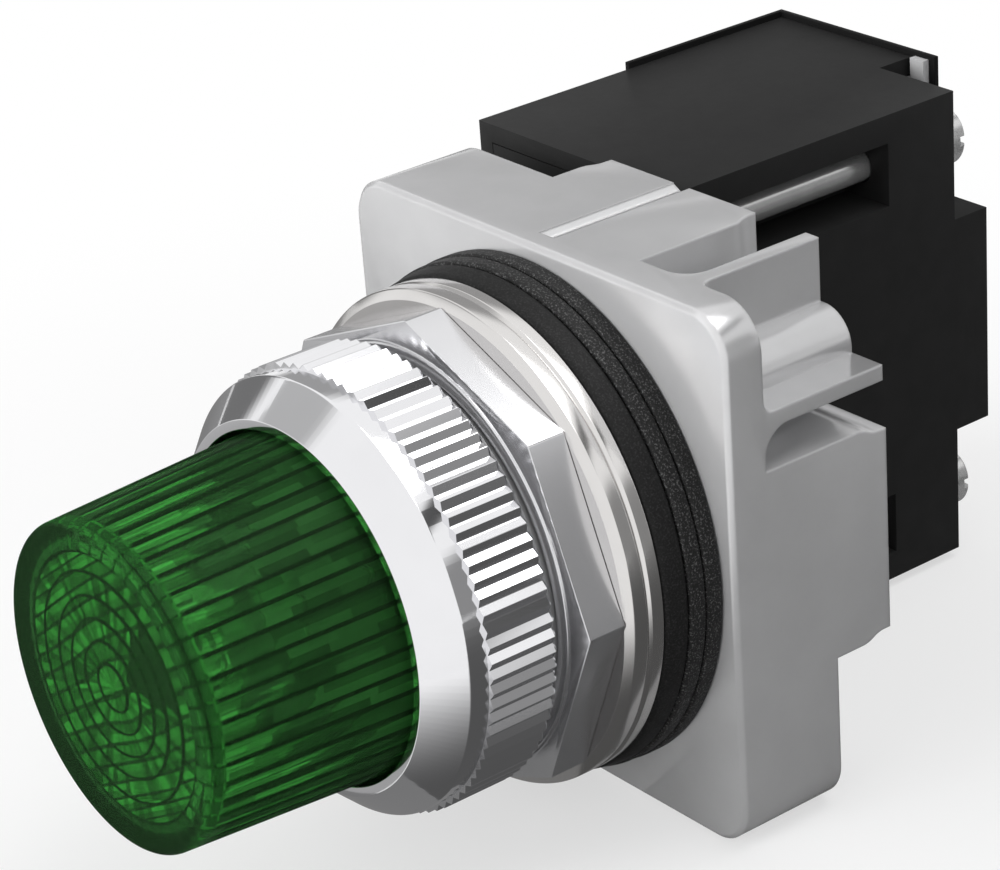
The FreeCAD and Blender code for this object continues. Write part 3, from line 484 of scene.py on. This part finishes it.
def skin(bm, loops, closed=True):
    """Faces from each loop to the next, and from the last to the first where closed.

    A loop may be a single vertex. Returns (row, segment, face) for each face.
    """
    made = []
    others = loops[1:] + loops[:1] if closed else loops[1:]
    for row, (loop, other) in enumerate(zip(loops, others)):
        count = max(len(loop), len(other))
        if count == 1:
            continue
        for segment in range(count):
            after = (segment + 1) % count
            corners = [
                loop[segment % len(loop)], loop[after % len(loop)],
                other[after % len(other)], other[segment % len(other)],
            ]
            made.append((row, segment, bm.faces.new(list(dict.fromkeys(corners)))))
    return made


def mesh_object(name, bm, materials):
    """A new object in the scene from the mesh being built."""
    mesh = bpy.data.meshes.new(name)
    bm.to_mesh(mesh)
    bm.free()
    for material in materials:
        mesh.materials.append(material)
    return placed(name, mesh)


def placed(name, data):
    made = bpy.data.objects.new(name, data)
    bpy.context.scene.collection.objects.link(made)
    return made


def piece(name, bm, materials, body, replaced=None, sharp=30):
    """A smooth-shaded piece, with sharp edges above an angle in degrees."""
    bmesh.ops.recalc_face_normals(bm, faces=bm.faces)
    made = mesh_object(name, bm, materials)
    shade_smooth(made.data)
    made.data.set_sharp_from_angle(angle=math.radians(sharp))
    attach(made, body)
    if replaced:
        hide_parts(replaced)
    return made


def shade_smooth(mesh):
    mesh.polygons.foreach_set("use_smooth", [True] * len(mesh.polygons))


# ---- pieces


def dress_cad(materials):
    """Materials for the CAD nodes that stay as they are, smoothed across their round faces."""
    looks = dict(LOOKS)
    for side in ("upper", "lower"):
        looks.update({side + "_" + node: look for node, look in PAIRED_LOOKS.items()})
    for node, look in looks.items():
        target = frame["nodes"][node]
        target.data.materials.clear()
        target.data.materials.append(materials[look])
        weld = target.modifiers.new("weld", "WELD")
        weld.merge_threshold = 0.000002
        if node in EDGE_WIDTHS:
            bevel = target.modifiers.new("edges", "BEVEL")
            bevel.width = EDGE_WIDTHS[node] * MM
            bevel.segments = 2
            bevel.limit_method = "ANGLE"
            bevel.angle_limit = math.radians(40)
            bevel.harden_normals = False
        shade_smooth(target.data)
        crease = target.modifiers.new("crease", "EDGE_SPLIT")
        crease.split_angle = math.radians(30)


def gaskets_and_washers(materials):
    """Rings with rounded lips, turned about the Y axis."""
    segments, bore_rounding = 256, 0.1
    angles = [FULL * segment / segments for segment in range(segments)]
    for name, node, body, look, slot, bore, edge in RINGS:
        rear, front = edge[0][1], edge[-1][1]
        outline = rounded([(bore, rear, bore_rounding), *edge, (bore, front, bore_rounding)])
        bm = bmesh.new()
        skin(bm, [loop_round_axis(bm, y, [(angle, radius) for angle in angles]) for radius, y in outline])
        piece(name, bm, [materials[look]], body, node)


def bezel(materials):
    """Chrome ring with a pointed knurl whose teeth stop abruptly behind a plain band."""
    teeth, root, tip = 90, 16.40, 16.75
    rear, band_start, cone_rear, front = -12.5, -18.2, -19.7, -22.2
    flange_bore, lens_bore, step_y = 14.95, 13.15, -19.4
    chamfer = 0.25
    front_part = rounded([
        (flange_bore, rear, 0.1), (flange_bore, step_y, 0.1), (lens_bore, step_y, 0.1),
        (lens_bore, front, 0.12), (13.9, front, 0.12), (16.3, cone_rear, 0.35), (16.3, band_start, 0.0),
    ])
    spokes = [
        (FULL * (tooth + share) / teeth, edge)
        for tooth in range(teeth)
        for share, edge in ((-0.02, tip), (0.02, tip), (0.48, root), (0.52, root))
    ]
    bm = bmesh.new()
    loops = [loop_round_axis(bm, y, [(angle, radius) for angle, _ in spokes]) for radius, y in front_part]
    for y, inset in ((band_start + 0.02, 0.0), (rear - chamfer, 0.0), (rear, chamfer)):
        loops.append(loop_round_axis(bm, y, [(angle, edge - inset) for angle, edge in spokes]))
    skin(bm, loops)
    piece("bezel_knurled", bm, [materials["chrome"]], "bezel", "bezel_ring", 22)


def lens(materials):
    """Tall cap, smooth outside, with ribs round the inside and stepped rings inside the front."""
    shares = (0.0, 0.14, 0.27, 0.40, 0.50, 0.60, 0.73, 0.86)
    depths = (0.0, 0.0, 0.02, 0.10, 1.0, 0.10, 0.02, 0.0)
    # Segments of each rib's valley that take the near-black painted shade in the last row
    valley = (3, 4)
    rib_depth = 0.45
    front, base_y = -37.96, -22.2
    flange_front, flange_rear = -19.35, -18.6
    flange_radius, base_radius, front_radius = 14.0, 12.8, 11.95
    inside, rib_front = front + 1.5, -35.9
    outer = rounded([
        (11.3, flange_rear, 0.05), (flange_radius, flange_rear, 0.1), (flange_radius, flange_front, 0.1),
        (base_radius, flange_front, 0.0), (base_radius, base_y, 0.0), (front_radius, front, 0.6),
        (0.0, front, 0.0),
    ], 6)
    rows = [(radius, y, 0, None) for radius, y in outer]
    rows.append((0.0, inside + 0.15, 0, None))
    for edge in (1.65, 3.24, 4.84, 6.45, 8.20):
        rows += [
            (edge, inside + 0.05, 0, "ring"),
            (edge + 0.08, inside - 0.35, 0, "step"),
            (edge + 0.20, inside + 0.15, 0, "step"),
        ]
    rows += [
        (9.6, inside + 0.10, 0, "ring"), (9.8, inside - 0.1, rib_depth, "step"),
        (10.42, inside + 0.35, 0, "shoulder"), (10.45, rib_front - 0.05, 0, "shoulder"),
        (10.47, rib_front, rib_depth, "shoulder"), (11.28, flange_rear - 0.3, rib_depth, "valley"),
    ]
    bm = bmesh.new()
    loops = []
    for radius, y, ribbed, _ in rows:
        spokes = [
            (FULL * (rib + share) / LENS_RIBS, radius + ribbed * depth)
            for rib in range(LENS_RIBS) for share, depth in zip(shares, depths)
        ]
        loops.append(loop_round_axis(bm, y, spokes if radius else [(0, 0)]))
    # Ring steps and, below, rib valleys take slot 1: painted shade for the dark lines that refraction makes.
    slots = {"step": 1, "ring": 3, "shoulder": 4}
    for row, segment, face in skin(bm, loops):
        kind = rows[(row + 1) % len(rows)][3]
        if kind in slots:
            face.material_index = slots[kind]
        elif kind == "valley" and segment % len(shares) in valley:
            face.material_index = 1
        elif row >= len(outer):
            face.material_index = 2
    greens = [materials[name] for name, *_ in GREENS]
    piece("lens_cap", bm, greens, "lens_unit", "lens", 10)


def groove_slope(materials):
    """The sloped side of the groove across the housing's top."""
    low, high, left, right = 20.14, 20.62, -0.86, -0.02
    front, rear = 1.95, 14.55
    bm = bmesh.new()
    ends = [
        [bm.verts.new(mm(x, y, z)) for x, z in ((left, low), (right, low), (left, high))]
        for y in (front, rear)
    ]
    for end in ends:
        bm.faces.new(end)
    skin(bm, ends, closed=False)
    piece("groove_slope", bm, [materials["cast_satin"]], "base")


def spring(materials):
    """Coil spring behind the plunger."""
    front, rear, radius, half_wire = 4.5, 14.2, 1.6, 0.25
    turns, steps, sides, travel = 5, 24, 8, 1.0
    count = turns * steps
    bm = bmesh.new()
    loops = []
    for step in range(count + 1):
        angle = FULL * step / steps
        middle = front + half_wire + (rear - front - 2 * half_wire) * step / count
        loop = []
        for side in range(sides):
            around = FULL * side / sides
            reach = radius + half_wire * math.cos(around)
            y = middle + half_wire * math.sin(around)
            loop.append(bm.verts.new(mm(reach * math.sin(angle), y, reach * math.cos(angle))))
        loops.append(loop)
    skin(bm, loops, closed=False)
    bm.faces.new(loops[0])
    bm.faces.new(loops[-1])
    made = piece(
        "contact_spring_coil", bm, [materials["spring_steel"]], "base", "contact_spring", 40
    )
    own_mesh(made)


# ---- stage


def aim(made, place, target, forward):
    """Put an object at a place with its forward axis towards the target."""
    made.location = place
    made.rotation_mode = "QUATERNION"
    made.rotation_quaternion = (Vector(target) - Vector(place)).to_track_quat(forward, "Y")


def floor():
    """Pale floor under the housing that keeps the shadow and fades to white with distance."""
    shader = Shader("floor_white", Base_Color=(0.80, 0.80, 0.80, 1.0), Roughness=0.9, Specular_IOR_Level=0.1)
    fade = shader.remap(shader.length(shader.coords()), FLOOR_FADE, (0.60, 1.0), smooth=True)
    share = shader.math("MULTIPLY", shader.seen_directly(), fade)
    glow = shader.node("Emission", Strength=1.0)
    shader.surface(shader.mix(share, shader.bsdf.outputs[0], glow.outputs[0]))
    bm = bmesh.new()
    bmesh.ops.create_grid(bm, x_segments=2, y_segments=2, size=3.0)
    bmesh.ops.translate(bm, verts=bm.verts, vec=(0, 0, FLOOR_Z))
    mesh_object("floor", bm, [shader.material])


def world():
    """White to the eye and to reflections, and dimmer towards the floor as a light."""
    studio = bpy.data.worlds.new("studio")
    bpy.context.scene.world = studio
    sky = Nodes(studio)
    split = sky.node("SeparateXYZ")
    sky.link(sky.node("TexCoord").outputs["Generated"], split.inputs[0])
    height = sky.remap(split.outputs["Z"], (-1, 1))
    levels = ((0.0, 0.25), (0.46, 0.30), (0.56, 0.42), (0.74, 0.75), (1.0, 1.0))
    stops = [(position, (level, level, level * 1.01)) for position, level in levels]
    background = sky.tree.nodes["Background"]
    background.inputs["Strength"].default_value = 0.35
    sky.link(sky.ramp(height, stops), background.inputs["Color"])
    white = sky.node("Background", Strength=1.0, Color=(1, 1, 1, 1))
    surface = sky.mix(sky.seen_directly(), background.outputs[0], white.outputs[0])
    sky.link(surface, sky.tree.nodes["World Output"].inputs["Surface"])


def reflected_sheet(name, across, along, z, levels, reach_span, scale=(1, 1, 1), front_edge=None):
    """A flat glowing sheet that only polished surfaces see, a painted reflection, shading outwards from its
    origin.
    """
    shader = Shader(
        name, Base_Color=(0, 0, 0, 1), Roughness=1.0, Specular_IOR_Level=0.0, Emission_Strength=1.0
    )
    shade = shader.remap(shader.length(shader.coords(scale)), reach_span, levels, smooth=True)
    if front_edge:
        edge = shader.remap(shader.place()[1], front_edge, smooth=True)
        darker = shader.math("MULTIPLY", edge, shader.math("SUBTRACT", 1.0, shade))
        shade = shader.math("SUBTRACT", 1.0, darker)
    shader.link(shade, shader.bsdf.inputs["Emission Color"])
    (left, right), (front, rear) = across, along
    bm = bmesh.new()
    corners = ((left, front), (right, front), (right, rear), (left, rear))
    bm.faces.new([bm.verts.new((x, y, z)) for x, y in corners])
    made = mesh_object(name, bm, [shader.material])
    # Hidden from all but polished surfaces, so the sheet is only a painted reflection.
    made.visible_camera = False
    made.visible_diffuse = False
    made.visible_transmission = False
    made.visible_shadow = False
    return made


def painted_reflection_sheets():
    """Painted reflections: soft-edged glowing grey cards round the part and grey mats just above the floor,
    seen only by polished surfaces.
    """
    for name, place, size, level in REFLECTION_CARDS:
        half_width, half_height = size[0] / 2, size[1] / 2
        made = reflected_sheet(
            name, (-half_width, half_width), (-half_height, half_height), 0, (level, 1.0), CARD_FADE,
            scale=(1 / half_width, 1 / half_height, 1),
        )
        aim(made, place, ORIGIN, "Z")
    for name, across, along, levels, front_edge in REFLECTION_MATS:
        reflected_sheet(name, across, along, MAT_Z, levels, MAT_FADE, front_edge=front_edge)


def lights():
    for name, place, target, side, power, mirrored in LAMPS:
        data = bpy.data.lights.new(name, "AREA")
        data.shape = "RECTANGLE"
        data.size = data.size_y = side
        data.energy = power
        made = placed(name, data)
        aim(made, place, target, "-Z")
        made.visible_glossy = mirrored


def camera():
    """Camera fitted to the photograph: long lens, turned 53 degrees, 25 degrees up, rolled a little."""
    azimuth, elevation, roll = (math.radians(value) for value in (53.229, 25.320, -4.379))
    offset_right, offset_up, distance = 3.244, 5.105, 247.405
    focal_pixels, width_pixels, sensor_width = 3393.98, 1000, 36
    back = Vector((
        math.sin(azimuth) * math.cos(elevation), -math.cos(azimuth) * math.cos(elevation), math.sin(elevation)
    ))
    right = Vector((0, 0, 1)).cross(back).normalized()
    up = back.cross(right)
    turned_right = right * math.cos(roll) + up * math.sin(roll)
    turned_up = up * math.cos(roll) - right * math.sin(roll)
    data = bpy.data.cameras.new("camera")
    data.lens = focal_pixels / width_pixels * sensor_width
    data.sensor_width = sensor_width
    data.clip_start, data.clip_end = 0.01, 20
    made = placed("camera", data)
    made.rotation_mode = "QUATERNION"
    made.rotation_quaternion = Matrix((turned_right, turned_up, back)).transposed().to_quaternion()
    made.location = -(turned_right * offset_right - turned_up * offset_up - back * distance) * MM
    bpy.context.scene.camera = made


def main():
    bpy.context.scene.view_settings.view_transform = "Standard"
    materials = make_materials()
    dress_cad(materials)
    gaskets_and_washers(materials)
    bezel(materials)
    lens(materials)
    groove_slope(materials)
    spring(materials)
    floor()
    world()
    painted_reflection_sheets()
    lights()
    camera()


main()
